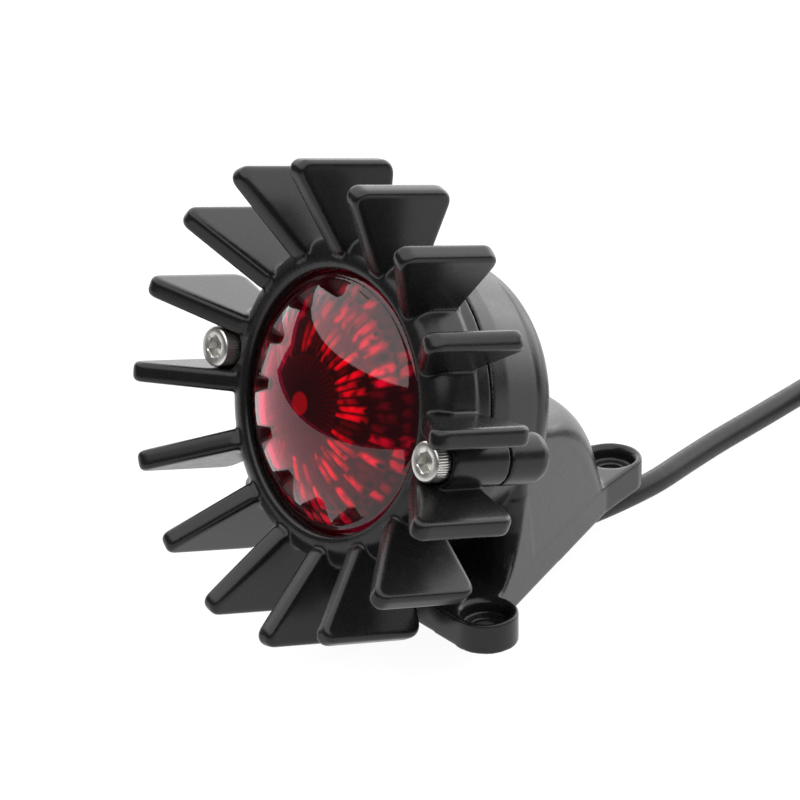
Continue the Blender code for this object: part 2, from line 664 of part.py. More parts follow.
def lead_end(jacket):
    """Sleeve, three cores and three bullet terminals, lying on top of the coil."""
    look = {
        "red": material("core_red", (0.45, 0.02, 0.02), 0.5),
        "brown": material("core_brown", (0.16, 0.07, 0.03), 0.5),
        "black": material("core_black", (0.02, 0.02, 0.02), 0.5),
    }
    brass = material("tinned_brass", (0.75, 0.68, 0.5), 0.3, 1.0)
    top = LEAD_Z + LEAD_D + 2 * GAP
    end_turn = 1.98
    tail = [coil_point(end_turn + 0.012 * i, COIL_TOP_R, top) for i in range(5)]
    tube("lead_tail", tail, LEAD_D, jacket)
    sleeve_start = end_turn + 0.055
    sleeve = [coil_point(sleeve_start + 0.012 * i, COIL_TOP_R, top) for i in range(5)]
    tube("end_sleeve", sleeve, LEAD_D + 0.6, material("black_rubber", (0.02, 0.02, 0.02), 0.7))
    core_start = sleeve_start + 0.055
    for name, offset, lift in (("red", 2.2, -1.5), ("brown", 0.0, -0.4), ("black", -2.2, -1.5)):
        spread = [offset * (0.75 + 0.5 * i / 6) for i in range(7)]
        route = [
            coil_point(core_start + 0.016 * i, COIL_TOP_R + spread[i], top + lift) for i in range(7)
        ]
        tube("core_" + name, route, CORE_D, look[name])
        heading = Vector(route[-1]) - Vector(route[-2])
        bullet = [(0.0, 0.0), (1.0, 0.0), (1.25, 1.0), (1.25, 8.0), (1.0, 8.4), (1.2, 9.0), (1.2, 10.2), (0.7, 11.2)]
        piece = turned("bullet_" + name, bullet + [(0.0, 11.2)], brass, 12)
        start = Vector(route[-1]) + heading.normalized() * (GAP + 0.2)
        piece.location = start * MM
        piece.rotation_mode = "QUATERNION"
        piece.rotation_quaternion = (-heading).to_track_quat("Z", "Y")


def inner_wires():
    """Three cores from the lead's inner end up to the back of the board."""
    colours = {"red": (0.45, 0.02, 0.02), "brown": (0.16, 0.07, 0.03), "black": (0.02, 0.02, 0.02)}
    for name, x in (("red", -3.2), ("brown", 0.0), ("black", 3.2)):
        route = [
            (x * 0.55, 0.5, 10.1), (x * 0.7, -1.6, 12.0), (x, -5.5, 16.5), (x, -10.0, 21.5),
            (x, -15.0, 26.3), (x, -19.0, 29.6), (x, -21.3, 31.3),
        ]
        tube("board_wire_" + name, smooth_route(route, 3.0), 1.3, material("core_" + name, colours[name], 0.5))


def main():
    """Build the whole tail light."""
    global PARTS, CUTTERS
    PARTS, CUTTERS = fresh_collections()
    lamp = lamp_frame()
    finned_bezel(lamp)
    lens_and_optics(lamp)
    light_engine(lamp)
    cap_screws(lamp)
    housing_seal(lamp)
    rear_housing(lamp)
    lead(lamp)


main()
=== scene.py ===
"""Motorcycle tail light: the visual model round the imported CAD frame.

Lengths are in millimetres in the helpers and become metres in the meshes. Lamp outlines
are (radius, depth), with depth running backwards from the rim of the lens opening.
"""

import math

import bmesh
import bpy
import numpy as np
from mathutils import Matrix, Vector, noise


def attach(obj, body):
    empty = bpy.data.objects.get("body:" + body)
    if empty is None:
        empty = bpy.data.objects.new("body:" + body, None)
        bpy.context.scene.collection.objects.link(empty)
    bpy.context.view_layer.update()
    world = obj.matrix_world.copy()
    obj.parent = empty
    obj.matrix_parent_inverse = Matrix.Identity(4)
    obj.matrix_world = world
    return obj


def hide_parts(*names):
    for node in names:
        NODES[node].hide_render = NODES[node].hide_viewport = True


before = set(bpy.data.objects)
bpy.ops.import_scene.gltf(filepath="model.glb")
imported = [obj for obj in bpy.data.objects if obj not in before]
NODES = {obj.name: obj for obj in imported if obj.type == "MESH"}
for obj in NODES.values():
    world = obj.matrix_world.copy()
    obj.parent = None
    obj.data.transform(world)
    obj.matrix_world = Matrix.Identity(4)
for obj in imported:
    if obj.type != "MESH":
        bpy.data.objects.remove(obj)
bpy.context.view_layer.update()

MM = 0.001  # metres in a millimetre
VOXEL = 0.26
SMOOTHING_ROUNDS = 20
FLOOR_Z = -9.3

# The lamp's own frame: +Z is the way the lens looks
LAMP_TILT = math.radians(15.0)
LAMP_CENTRE = Vector((0.0, -31.7, 42.3))
LAMP = Matrix.Translation(LAMP_CENTRE * MM) @ Matrix.Rotation(math.pi / 2 - LAMP_TILT, 4, "X")
UPRIGHT = Matrix.Identity(4)

# Head
SEAM = 14.6
FIN_COUNT = 16
FIN_ROOT_R = 30.2
FIN_TIP_R = 50.0
FIN_ROOT_T = 4.65
FIN_TIP_T = 4.3
SCREW_X = 35.2
BOSS_R = 5.6

# Foot
EARS = ((37.93, -21.9), (0.0, 43.8), (-36.0, -19.2))
EAR_R = 6.75
EAR_T = 6.6
COUNTERBORE_R = 4.8
COUNTERBORE_FLOOR = 3.4
BOLT_HOLE_R = 2.75
PLATE_TOP = 23.0
NECK_SIDE = math.radians(26.3)
NECK_FRONT_X = 31.26
NECK_FRONT_Y = -8.5
NECK_REAR_Y = 34.8
SHOULDER_Y = 7.5
SHOULDER_Z = 7.5
SHOULDER_R = 26.2
# Where the neck runs out into the foot: (height, how far it stands out there)
FLARE = (
    (6.7, 6.2), (7.4, 5.2), (8.4, 4.2), (10.0, 3.0), (12.5, 1.9), (16.0, 1.0), (20.0, 0.4),
    (24.0, 0.1),
)

# Optic. The real prisms' pattern isn't copied: which facets are bright is drawn at random,
# and the seed and the limit were chosen.
SECTORS = 52
RING_EDGES = (2.4, 9.6, 16.6, 21.8, 24.8)
FACET_SEED = 12
LIT_ABOVE = 0.46

# Lead
LEAD_D = 5.4
LEAD_Z = -5.55
EXIT_SLOPE = math.radians(37.0)
EXIT_Y = 14.0
EXIT_INSIDE = 16.0
GROMMET_END = 2.0
COIL_CENTRE = (11.1, 145.6)
COIL_START_R = 33.5
COIL_END_R = 22.8
COIL_TURNS = 2.02
COIL_SHRINK_TURNS = 1.9
COIL_SHRINK_STOP = 1.7
COIL_POINTS = 48
COIL_START_ANGLE = math.radians(193.1)
# The lead's end lies on the coil: its radius and height there, and over which part of a
# turn it gets there, as (start, length)
COIL_TOP_R = 29.0
COIL_TOP_Z = 0.45
COIL_CLIMB = (1.66, 0.2)
COIL_SWERVE = (1.72, 0.26)


# ---------------------------------------------------------------- mesh helpers
def new_object(name, mesh, look=None, body=True):
    """Link a mesh or curve as a piece of the lamp."""
    obj = bpy.data.objects.new(name, mesh)
    bpy.context.scene.collection.objects.link(obj)
    if look:
        mesh.materials.append(look)
    if body:
        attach(obj, "root")
    return obj


def smooth(mesh, limit=None):
    """Smooth shading, kept sharp over the limit in degrees where one is given."""
    mesh.shade_smooth()
    if limit is not None:
        mesh.set_sharp_from_angle(angle=math.radians(limit))


def add_turned(bm, outline, steps, place=LAMP, closed=False, centre=(0.0, 0.0), ripple=None):
    """Sweep a (radius, depth) outline round the depth axis.

    ripple(angle, radius, depth, index) gives a moved radius and depth for each point of the
    ring with that index in the outline.
    """
    rings = []
    for index, (radius, depth) in enumerate(outline):
        if radius < 1e-6:
            rings.append([bm.verts.new(place @ Vector((centre[0] * MM, centre[1] * MM, -depth * MM)))])
            continue
        ring = []
        for step in range(steps):
            angle = math.tau * step / steps
            r, d = (radius, depth) if ripple is None else ripple(angle, radius, depth, index)
            point = Vector((centre[0] + r * math.cos(angle), centre[1] + r * math.sin(angle), -d)) * MM
            ring.append(bm.verts.new(place @ point))
        rings.append(ring)
    pairs = list(zip(rings, rings[1:]))
    if closed:
        pairs.append((rings[-1], rings[0]))
    for upper, lower in pairs:
        for step in range(steps):
            after = (step + 1) % steps
            if len(upper) == 1:
                bm.faces.new((upper[0], lower[step], lower[after]))
            elif len(lower) == 1:
                bm.faces.new((upper[step], lower[0], upper[after]))
            else:
                bm.faces.new((upper[step], lower[step], lower[after], upper[after]))


def add_prism(bm, lower, upper, place):
    """A solid between two outlines with equal point counts, as lists of 3-D points."""
    low = [bm.verts.new(place @ (Vector(point) * MM)) for point in lower]
    high = [bm.verts.new(place @ (Vector(point) * MM)) for point in upper]
    count = len(low)
    for i in range(count):
        j = (i + 1) % count
        bm.faces.new((low[i], low[j], high[j], high[i]))
    bm.faces.new(low[::-1])
    bm.faces.new(high)


def add_loft(bm, sections):
    """A solid through flat sections: (height, [(x, y), ...])."""
    rings = [[bm.verts.new(Vector((x, y, z)) * MM) for x, y in points] for z, points in sections]
    for lower, upper in zip(rings, rings[1:]):
        count = len(lower)
        for i in range(count):
            j = (i + 1) % count
            bm.faces.new((lower[i], lower[j], upper[j], upper[i]))
    bm.faces.new(rings[0][::-1])
    bm.faces.new(rings[-1])


def soften_edges(bm, radius, segments, limit=40.0):
    """Round the edges that are sharper than the limit in degrees."""
    bmesh.ops.recalc_face_normals(bm, faces=bm.faces[:])
    least = math.radians(limit)
    edges = [edge for edge in bm.edges if edge.is_manifold and edge.calc_face_angle() > least]
    bmesh.ops.bevel(
        bm, geom=edges, offset=radius * MM, offset_type="OFFSET", segments=segments,
        profile=0.5, affect="EDGES", clamp_overlap=True,
    )


def add_copy(bm, other):
    """Move one bmesh's solid into another."""
    mesh = mesh_from(other, "copied")
    bm.from_mesh(mesh)
    bpy.data.meshes.remove(mesh)


def add_shared(bm, first, second):
    """Add only what two solids share."""
    kept = new_object("kept", mesh_from(first, "kept"), body=False)
    guide = new_object("guide", mesh_from(second, "guide"), body=False)
    share = kept.modifiers.new("share", "BOOLEAN")
    share.operation = "INTERSECT"
    share.object = guide
    share.solver = "EXACT"
    mesh = baked(kept)
    for obj in (kept, guide):
        bpy.data.objects.remove(obj)
    bm.from_mesh(mesh)
    bpy.data.meshes.remove(mesh)


def mesh_from(bm, name):
    """Finish a bmesh: faces outwards, into a new mesh."""
    bmesh.ops.recalc_face_normals(bm, faces=bm.faces[:])
    mesh = bpy.data.meshes.new(name)
    bm.to_mesh(mesh)
    bm.free()
    return mesh


def baked(obj):
    """The mesh that an object has after its modifiers."""
    depsgraph = bpy.context.evaluated_depsgraph_get()
    return bpy.data.meshes.new_from_object(obj.evaluated_get(depsgraph), depsgraph=depsgraph)


def cast(name, solids, cuts, look):
    """A casting: overlapping solids fused, cut, and rounded all over like painted metal."""
    body = new_object(name + "_rough", mesh_from(solids, name), body=False)
    tool = new_object(name + "_cuts", mesh_from(cuts, name + "_cuts"), body=False)
    fuse = body.modifiers.new("fuse", "REMESH")
    fuse.mode = "VOXEL"
    fuse.voxel_size = VOXEL * MM
    cut = body.modifiers.new("cut", "BOOLEAN")
    cut.operation = "DIFFERENCE"
    cut.object = tool
    cut.solver = "MANIFOLD"
    even = body.modifiers.new("even", "REMESH")
    even.mode = "VOXEL"
    even.voxel_size = VOXEL * MM
    soften = body.modifiers.new("soften", "SMOOTH")
    soften.factor = 0.5
    soften.iterations = SMOOTHING_ROUNDS
    mesh = baked(body)
    mesh.name = name
    mesh.materials.clear()
    mesh.polygons.foreach_set("material_index", [0] * len(mesh.polygons))
    bpy.data.objects.remove(body)
    bpy.data.objects.remove(tool)
    smooth(mesh)
    return new_object(name, mesh, look)


def arc(centre_x, centre_y, radius, start, end, steps):
    """Points on an arc, in degrees."""
    angles = [math.radians(start + (end - start) * i / steps) for i in range(steps + 1)]
    return [(centre_x + radius * math.cos(a), centre_y + radius * math.sin(a)) for a in angles]


def rounded_corner(before, corner, after, radius, steps):
    """Points that round one corner of an outline."""
    here = Vector(corner)
    to_before = (Vector(before) - here).normalized()
    to_after = (Vector(after) - here).normalized()
    half = to_before.angle(to_after) / 2
    reach = radius / math.tan(half)
    centre = here + (to_before + to_after).normalized() * radius / math.sin(half)
    first = here + to_before * reach - centre
    sweep = math.copysign(math.pi - 2 * half, to_before.angle_signed(to_after))
    return [tuple(centre + Matrix.Rotation(sweep * i / steps, 2) @ first) for i in range(steps + 1)]


def smooth_route(points, spacing):
    """Points a fixed distance apart on a smooth curve through the given ones."""
    knots = [Vector(point) for point in points]
    knots = [2 * knots[0] - knots[1]] + knots + [2 * knots[-1] - knots[-2]]
    dense = []
    parts = 24
    for a, b, c, d in zip(knots, knots[1:], knots[2:], knots[3:]):
        for i in range(parts):
            t = i / parts
            square = (2 * a - 5 * b + 4 * c - d) * t**2
            cube = (3 * b - a - 3 * c + d) * t**3
            dense.append(0.5 * (2 * b + (c - a) * t + square + cube))
    dense.append(knots[-2])
    chosen = [dense[0]]
    for place in dense:
        if (place - chosen[-1]).length >= spacing:
            chosen.append(place)
    chosen[-1] = dense[-1]
    return chosen


# ---------------------------------------------------------------- camera
def make_camera():
    """A long lens from the front right, a little above."""
    data = bpy.data.cameras.new("camera")
    data.sensor_width = 36.0
    data.lens = 218.73
    camera = bpy.data.objects.new("camera", data)
    bpy.context.scene.collection.objects.link(camera)
    right = Vector((0.6191, 0.7853, -0.0091)).normalized()
    back = Vector((0.711, -0.5556, 0.431))
    back = (back - right * back.dot(right)).normalized()
    up = back.cross(right)
    turn = Matrix((right, up, back)).transposed().to_4x4()
    camera.matrix_world = Matrix.Translation((0.7134, -0.5711, 0.4698)) @ turn
    data.clip_start = 0.05
    data.clip_end = 50.0
    bpy.context.scene.camera = camera


# ---------------------------------------------------------------- materials
class Graph:
    """A small helper for building a Principled material's nodes."""

    def __init__(self, name, colour, roughness, metallic=0.0):
        self.material = bpy.data.materials.new(name)
        self.material.use_nodes = True
        self.nodes = self.material.node_tree.nodes
        self.links = self.material.node_tree.links
        self.shader = self.nodes["Principled BSDF"]
        self.shader.inputs["Base Color"].default_value = (*colour, 1.0)
        self.shader.inputs["Roughness"].default_value = roughness
        self.shader.inputs["Metallic"].default_value = metallic
        self.material.diffuse_color = (*colour, 1.0)
        self.coords = self.nodes.new("ShaderNodeTexCoord").outputs["Object"]

    def set(self, **values):
        """Set shader sockets, with underscores for spaces."""
        for key, value in values.items():
            self.shader.inputs[key.replace("_", " ")].default_value = value
        return self

    def noise(self, scale, detail=4.0, roughness=0.55):
        """A noise field in object space."""
        node = self.nodes.new("ShaderNodeTexNoise")
        node.inputs["Scale"].default_value = scale
        node.inputs["Detail"].default_value = detail
        node.inputs["Roughness"].default_value = roughness
        self.links.new(self.coords, node.inputs["Vector"])
        return node.outputs["Fac"]

    def remap(self, value, low, high, start=0.0, end=1.0):
        """A value stretched from start..end to low..high."""
        node = self.nodes.new("ShaderNodeMapRange")
        node.inputs["From Min"].default_value = start
        node.inputs["From Max"].default_value = end
        node.inputs["To Min"].default_value = low
        node.inputs["To Max"].default_value = high
        self.links.new(value, node.inputs["Value"])
        return node.outputs["Result"]

    def blend(self, value, first, second):
        """A colour between two colours."""
        node = self.nodes.new("ShaderNodeMix")
        node.data_type = "RGBA"
        node.inputs["A"].default_value = (*first, 1.0)
        node.inputs["B"].default_value = (*second, 1.0)
        self.links.new(value, node.inputs["Factor"])
        return node.outputs["Result"]

    def colour(self, output):
        """Feed the base colour."""
        self.links.new(output, self.shader.inputs["Base Color"])
        return self

    def rough(self, output):
        """Feed the roughness."""
        self.links.new(output, self.shader.inputs["Roughness"])
        return self

    def bump(self, output, strength, distance):
        """Add a bump, on top of any already there."""
        node = self.nodes.new("ShaderNodeBump")
        node.inputs["Strength"].default_value = strength
        node.inputs["Distance"].default_value = distance * MM
        self.links.new(output, node.inputs["Height"])
        if self.shader.inputs["Normal"].is_linked:
            before = self.shader.inputs["Normal"].links[0].from_socket
            self.links.new(before, node.inputs["Normal"])
        self.links.new(node.outputs["Normal"], self.shader.inputs["Normal"])
        return self


def powder_coat():
    """Satin black powder coat: fine grain, slight orange peel and patchy gloss."""
    g = Graph("powder_coat", (0.006, 0.006, 0.0065), 0.3)
    g.set(Specular_IOR_Level=0.33)
    g.colour(g.blend(g.noise(180.0), (0.0068, 0.0067, 0.0067), (0.0098, 0.0095, 0.0094)))
    g.rough(g.remap(g.noise(500.0, 2.0), 0.24, 0.29, 0.3, 0.7))
    g.bump(g.noise(420.0, 2.0), 0.05, 0.03)
    return g.material


def stainless():
    """Turned stainless steel with faint marks."""
    g = Graph("stainless", (0.66, 0.65, 0.62), 0.3, 1.0)
    g.colour(g.blend(g.noise(500.0), (0.6, 0.59, 0.56), (0.7, 0.69, 0.66)))
    g.rough(g.remap(g.noise(1500.0), 0.26, 0.36, 0.3, 0.7))
    g.bump(g.noise(3500.0, 2.0), 0.06, 0.02)
    return g.material


def plated():
    """Zinc-plated steel."""
    g = Graph("plated_steel", (0.55, 0.56, 0.58), 0.3, 1.0)
    g.rough(g.remap(g.noise(1200.0), 0.22, 0.4, 0.3, 0.7))
    return g.material


def rubber(name, colour, roughness, specular=0.5):
    """Matt rubber or soft plastic with a fine skin."""
    g = Graph(name, colour, roughness)
    g.set(Specular_IOR_Level=specular)
    g.colour(g.blend(g.noise(300.0), colour, tuple(c * 1.5 for c in colour)))
    g.rough(g.remap(g.noise(800.0), roughness - 0.06, roughness + 0.08, 0.3, 0.7))
    g.bump(g.noise(2400.0, 2.0), 0.25, 0.03)
    return g.material


def plastic(name, colour, roughness):
    """Plain moulded plastic with slight variation."""
    g = Graph(name, colour, roughness)
    g.colour(g.blend(g.noise(400.0), tuple(c * 0.85 for c in colour), colour))
    g.rough(g.remap(g.noise(900.0), roughness - 0.05, roughness + 0.07, 0.3, 0.7))
    g.bump(g.noise(1800.0, 2.0), 0.1, 0.02)
    return g.material


def metallised():
    """Vacuum-metallised plastic."""
    g = Graph("metallised", (0.85, 0.85, 0.86), 0.08, 1.0)
    g.bump(g.noise(600.0, 2.0), 0.1, 0.03)
    return g.material


def circuit_board():
    """White solder mask with faint tracks under it."""
    g = Graph("board_white", (0.62, 0.64, 0.6), 0.35)
    tracks = g.remap(g.noise(260.0, 1.0), 0.0, 1.0, 0.48, 0.52)
    g.colour(g.blend(tracks, (0.6, 0.62, 0.58), (0.7, 0.71, 0.68)))
    g.bump(g.noise(260.0, 1.0), 0.2, 0.03)
    return g.material


def red_lens():
    """Clear red polycarbonate."""
    g = Graph("red_lens", (0.88, 0.01, 0.09), 0.02)
    g.set(IOR=1.5, Transmission_Weight=1.0)
    g.bump(g.noise(90.0, 1.0), 0.05, 0.03)
    return g.material


def red_optic():
    """Prism facets inside the lens, with painted highlights where the mesh says they catch light.

    Real prisms throw light back. These give off a little red light instead, though the lamp
    is off, and their base colour is painted lighter there as well.
    """
    g = Graph("prism_optic", (0.1, 0.001, 0.003), 0.6)
    attribute = g.nodes.new("ShaderNodeAttribute")
    attribute.attribute_name = "painted_glint"
    painted_glint = attribute.outputs["Fac"]
    # Painted highlights: lighter base colour and red emission on the facets that stand for prisms
    # catching light
    g.colour(g.blend(painted_glint, (0.005, 0.0003, 0.001), (0.2, 0.002, 0.01)))
    glow = g.blend(painted_glint, (0.012, 0.0008, 0.003), (1.0, 0.002, 0.11))
    g.links.new(glow, g.shader.inputs["Emission Color"])
    g.set(Emission_Strength=1.0, Specular_IOR_Level=0.05)
    return g.material


LOOKS = {}


def make_looks():
    """Every finish used on the lamp."""
    LOOKS.update(
        coat=powder_coat(),
        stainless=stainless(),
        plated=plated(),
        rubber=rubber("black_rubber", (0.012, 0.012, 0.012), 0.62),
        jacket=rubber("lead_jacket", (0.009, 0.009, 0.0095), 0.42, 0.3),
        nylon=plastic("nylon_tie", (0.02, 0.02, 0.02), 0.42),
        package=plastic("led_package", (0.8, 0.75, 0.5), 0.2),
        ceramic=plastic("black_component", (0.02, 0.02, 0.02), 0.45),
        red_core=plastic("core_red", (0.45, 0.015, 0.015), 0.4),
        brown_core=plastic("core_brown", (0.13, 0.05, 0.02), 0.4),
        black_core=plastic("core_black", (0.012, 0.012, 0.012), 0.4),
        board=circuit_board(),
        metallised=metallised(),
        lens=red_lens(),
        optic=red_optic(),
    )


# ---------------------------------------------------------------- lead
def exit_point(distance):
    """A point on the slanted line on which the lead leaves the foot."""
    return (0.0, EXIT_Y + distance * math.cos(EXIT_SLOPE), -distance * math.sin(EXIT_SLOPE))


def coil_point(turn, radius, height):
    """A point on the coil, turn counted in whole turns from its start."""
    angle = COIL_START_ANGLE - math.tau * turn
    x, y = COIL_CENTRE
    return (x + radius * math.cos(angle), y + radius * math.sin(angle), height)


def ease(value):
    """Smooth step from 0 to 1."""
    value = min(max(value, 0.0), 1.0)
    return value * value * (3 - 2 * value)


def lead_route():
    """The whole centreline: out of the foot, along the floor, two turns and a tail on top."""
    route = [exit_point(-EXIT_INSIDE), exit_point(-9.0), exit_point(-3.0), exit_point(GROMMET_END)]
    route += [
        (0.0, 21.5, -4.2), (-0.1, 28.6, LEAD_Z), (-0.5, 36.0, LEAD_Z), (-1.1, 46.0, LEAD_Z),
        (-2.9, 59.0, LEAD_Z), (-6.1, 71.0, LEAD_Z), (-9.2, 83.0, LEAD_Z), (-12.7, 99.0, LEAD_Z),
        (-16.2, 114.3, LEAD_Z), (-19.2, 127.0, LEAD_Z),
    ]
    for index in range(COIL_POINTS):
        turn = COIL_TURNS * index / (COIL_POINTS - 1)
        shrunk = min(turn, COIL_SHRINK_STOP)
        radius = COIL_START_R + (COIL_END_R - COIL_START_R) * shrunk / COIL_SHRINK_TURNS
        height = LEAD_Z + (COIL_TOP_Z - LEAD_Z) * ease((turn - COIL_CLIMB[0]) / COIL_CLIMB[1])
        radius += (COIL_TOP_R - radius) * ease((turn - COIL_SWERVE[0]) / COIL_SWERVE[1])
        route.append(coil_point(turn, radius, height))
    return route


def make_lead():
    """The jacketed lead as one curve, in place of the CAD lead's own pieces."""
    route = smooth_route(lead_route(), 2.2)
    curve = bpy.data.curves.new("lead_run", "CURVE")
    curve.dimensions = "3D"
    curve.bevel_depth = LEAD_D / 2 * MM
    curve.bevel_resolution = 6
    curve.use_fill_caps = True
    spline = curve.splines.new("POLY")
    spline.points.add(len(route) - 1)
    for point, place in zip(spline.points, route):
        point.co = (*(place * MM), 1.0)
    spline.use_smooth = True
    lead = new_object("lead_run", curve, LOOKS["jacket"])
    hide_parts("lead", "lead_coil", "lead_tail")


# ---------------------------------------------------------------- castings
def fin_outline():
    """One fin's side view: radius outwards, depth backwards."""
    root_front, tip_front = (FIN_ROOT_R, -1.35), (FIN_TIP_R, -16.1)
    tip_rear, root_rear = (FIN_TIP_R, 11.55), (31.0, 10.95)
    points = [(FIN_ROOT_R, 0.4), root_front]
    points += rounded_corner(root_front, tip_front, tip_rear, 2.3, 6)
    points += rounded_corner(tip_front, tip_rear, root_rear, 3.0, 6)
    return points + [root_rear]


def add_fins(bm):
    """The sixteen fins, a little thinner at their tips."""
    outline = fin_outline()
    taper = (FIN_TIP_T - FIN_ROOT_T) / (FIN_TIP_R - FIN_ROOT_R)
    for index in range(FIN_COUNT):
        place = LAMP @ Matrix.Rotation(math.tau * (index + 0.5) / FIN_COUNT, 4, "Z")
        half = [(FIN_ROOT_T + taper * (radius - FIN_ROOT_R)) / 2 for radius, _ in outline]
        near = [(r, -t, -d) for (r, d), t in zip(outline, half)]
        far = [(r, t, -d) for (r, d), t in zip(outline, half)]
        fin = bmesh.new()
        add_prism(fin, near, far, place)
        soften_edges(fin, 1.2, 4)
        add_copy(bm, fin)


def make_bezel():
    """Front casting: a ring round the lens, its fins and two screw bosses."""
    solids, cuts = bmesh.new(), bmesh.new()
    outline = [
        (27.3, 0.9), (27.3, 0.2), (27.8, -0.35), (28.6, -0.55), (29.9, -0.5), (31.2, -0.05),
        (32.4, 0.7), (33.2, 1.7), (33.7, 3.0), (33.8, 4.2), (33.8, 10.2), (33.2, 10.6), (33.2, SEAM),
        (29.5, SEAM), (29.5, 1.7), (27.3, 1.7),
    ]
    add_turned(solids, outline, 256, closed=True)
    add_fins(solids)
    boss = [(0, -0.4), (5.2, -0.4), (BOSS_R, 0.0), (BOSS_R, SEAM), (0, SEAM)]
    screw_hole = [(0, -9.0), (4.6, -9.0), (4.6, 1.6), (2.75, 1.6), (2.75, 16.0), (0, 16.0)]
    for x in (-SCREW_X, SCREW_X):
        add_turned(solids, boss, 96, centre=(x, 0))
        add_turned(cuts, screw_hole, 96, centre=(x, 0))
    bezel = cast("bezel_casting", solids, cuts, LOOKS["coat"])
    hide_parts("finned_bezel")


def neck_section(rear, inset=0.0, corner=9.0):
    """The neck's plan at one height: straight tapering sides and rounded corners."""
    slope = math.tan(NECK_SIDE)
    shrink = inset / math.cos(NECK_SIDE)
    front, rear = NECK_FRONT_Y + inset, rear - inset
    front_x = NECK_FRONT_X - slope * (front - NECK_FRONT_Y) - shrink
    rear_x = NECK_FRONT_X - slope * (rear - NECK_FRONT_Y) - shrink
    right_front, right_rear = (front_x, front), (rear_x, rear)
    left_front, left_rear = (-front_x, front), (-rear_x, rear)
    front_r = max(3.5 - inset * 0.5, 0.8)
    rear_r = min(corner - inset, 0.9 * (rear - front), 1.5 * rear_x)
    points = rounded_corner(left_front, right_front, right_rear, front_r, 4)
    points += rounded_corner(right_front, right_rear, left_rear, rear_r, 10)
    points += rounded_corner(right_rear, left_rear, left_front, rear_r, 10)
    return points + rounded_corner(left_rear, left_front, right_front, front_r, 4)


def plate_outline():
    """The foot's outline: three round ears with straight sides between them."""
    near, rear, far = EARS
    front = math.degrees(math.atan2(far[1] - near[1], far[0] - near[0])) - 270.0
    side = 90.0 + math.degrees(NECK_SIDE)
    outline = arc(*near, EAR_R, front, side, 32) + [(10.3, 34.0)]
    outline += arc(*rear, EAR_R, 14.0, 166.0, 24) + [(-10.3, 34.0)]
    return outline + arc(*far, EAR_R, 68.0, front + 360.0, 32)


def make_housing():
    """Rear casting: cup, neck, and foot with three ears."""
    solids, cuts = bmesh.new(), bmesh.new()
    face = SEAM + 0.3
    quarter = np.linspace(0, math.pi / 2, 12)
    back = [(29.6 - 10.0 * (1 - math.cos(a)), 30.0 + 8.7 * math.sin(a)) for a in quarter]
    outside = [(0.0, 12.8), (29.1, 12.8), (29.1, face), (33.1, face), (32.3, 20.0), (29.8, 29.5)]
    add_turned(solids, outside + back + [(0.0, 38.7)], 256)
    boss = [
        (0, face), (BOSS_R, face), (BOSS_R, 23.6), (5.2, 25.0), (4.3, 26.0), (3.0, 26.4), (0, 26.4),
    ]
    for x in (-SCREW_X, SCREW_X):
        add_turned(solids, boss, 96, centre=(x, 0))
        add_turned(cuts, [(0, 10.0), (2.7, 10.0), (2.7, 23.0), (0, 23.0)], 48, centre=(x, 0))
    sections = [(1.5, neck_section(NECK_REAR_Y)), (8.0, neck_section(NECK_REAR_Y - 0.4))]
    for step in range(1, 21):
        angle = math.radians(8.0 + 3.7 * step)
        height = SHOULDER_Z + SHOULDER_R * math.sin(angle)
        corner = min(9.0 + 0.55 * (height - SHOULDER_Z), 24.0)
        sections.append((height, neck_section(SHOULDER_Y + SHOULDER_R * math.cos(angle), 0.0, corner)))
    add_loft(solids, sections)
    outline = plate_outline()
    foot, top = bmesh.new(), bmesh.new()
    add_loft(foot, [(0.0, outline), (PLATE_TOP, outline)])
    wide = neck_section(NECK_REAR_Y, -70.0)
    flared = [(z, neck_section(-out, -out)) for z, out in FLARE]
    add_loft(top, [(-1.0, wide), (EAR_T, wide)] + flared)
    add_shared(solids, foot, top)

    hollow = [
        (0, 10.0), (26.8, 10.0), (26.6, 18.0), (25.4, 29.0), (22.5, 33.5), (18, 35.6), (0, 35.8),
    ]
    add_turned(cuts, hollow, 96)
    room = [(33.3, 5.0), (40.0, 5.0), (40.0, face), (33.3, face)]
    add_turned(cuts, room, 192, closed=True)
    pocket = [
        (0, -24.0), (6.0, -24.0), (5.8, -6.5), (5.2, -6.0), (4.9, -5.4),
        (COUNTERBORE_R, -COUNTERBORE_FLOOR), (BOLT_HOLE_R, -COUNTERBORE_FLOOR), (BOLT_HOLE_R, 3.0),
        (0, 3.0),
    ]
    for x, y in EARS:
        add_turned(cuts, pocket, 96, UPRIGHT, centre=(x, y))
    along_exit = Matrix.Rotation(-(math.pi / 2 + EXIT_SLOPE), 4, "X")
    hole = Matrix.Translation(Vector(exit_point(0.0)) * MM) @ along_exit
    add_turned(cuts, [(0, -15.0), (4.2, -15.0), (4.2, 15.0), (0, 15.0)], 64, hole)
    housing = cast("housing_casting", solids, cuts, LOOKS["coat"])
    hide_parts("rear_housing")


# ---------------------------------------------------------------- lens
def dome(apex, edge_r, edge_depth, steps):
    """Outline points of a spherical cap from its apex out to its edge."""
    rise = edge_depth - apex
    ball = (edge_r**2 + rise**2) / (2 * rise)
    radii = [edge_r * i / steps for i in range(steps + 1)]
    return [(radius, apex + ball - math.sqrt(ball**2 - radius**2)) for radius in radii]


def make_lens():
    """Red dome with its flange."""
    front = dome(-10.0, 25.4, 0.45, 40)
    flange = [
        (25.75, 0.55), (26.1, 0.72), (26.5, 1.0), (26.9, 1.4), (26.9, 2.7), (29.2, 2.7), (29.2, 4.0),
        (26.6, 4.0),
    ]
    back = dome(-8.0, 24.4, 2.4, 24)
    bm = bmesh.new()
    add_turned(bm, front + flange + back[::-1], 192)
    mesh = mesh_from(bm, "lens_dome")
    smooth(mesh, 50)
    lens = new_object("lens_dome", mesh, LOOKS["lens"])
    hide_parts("lens")


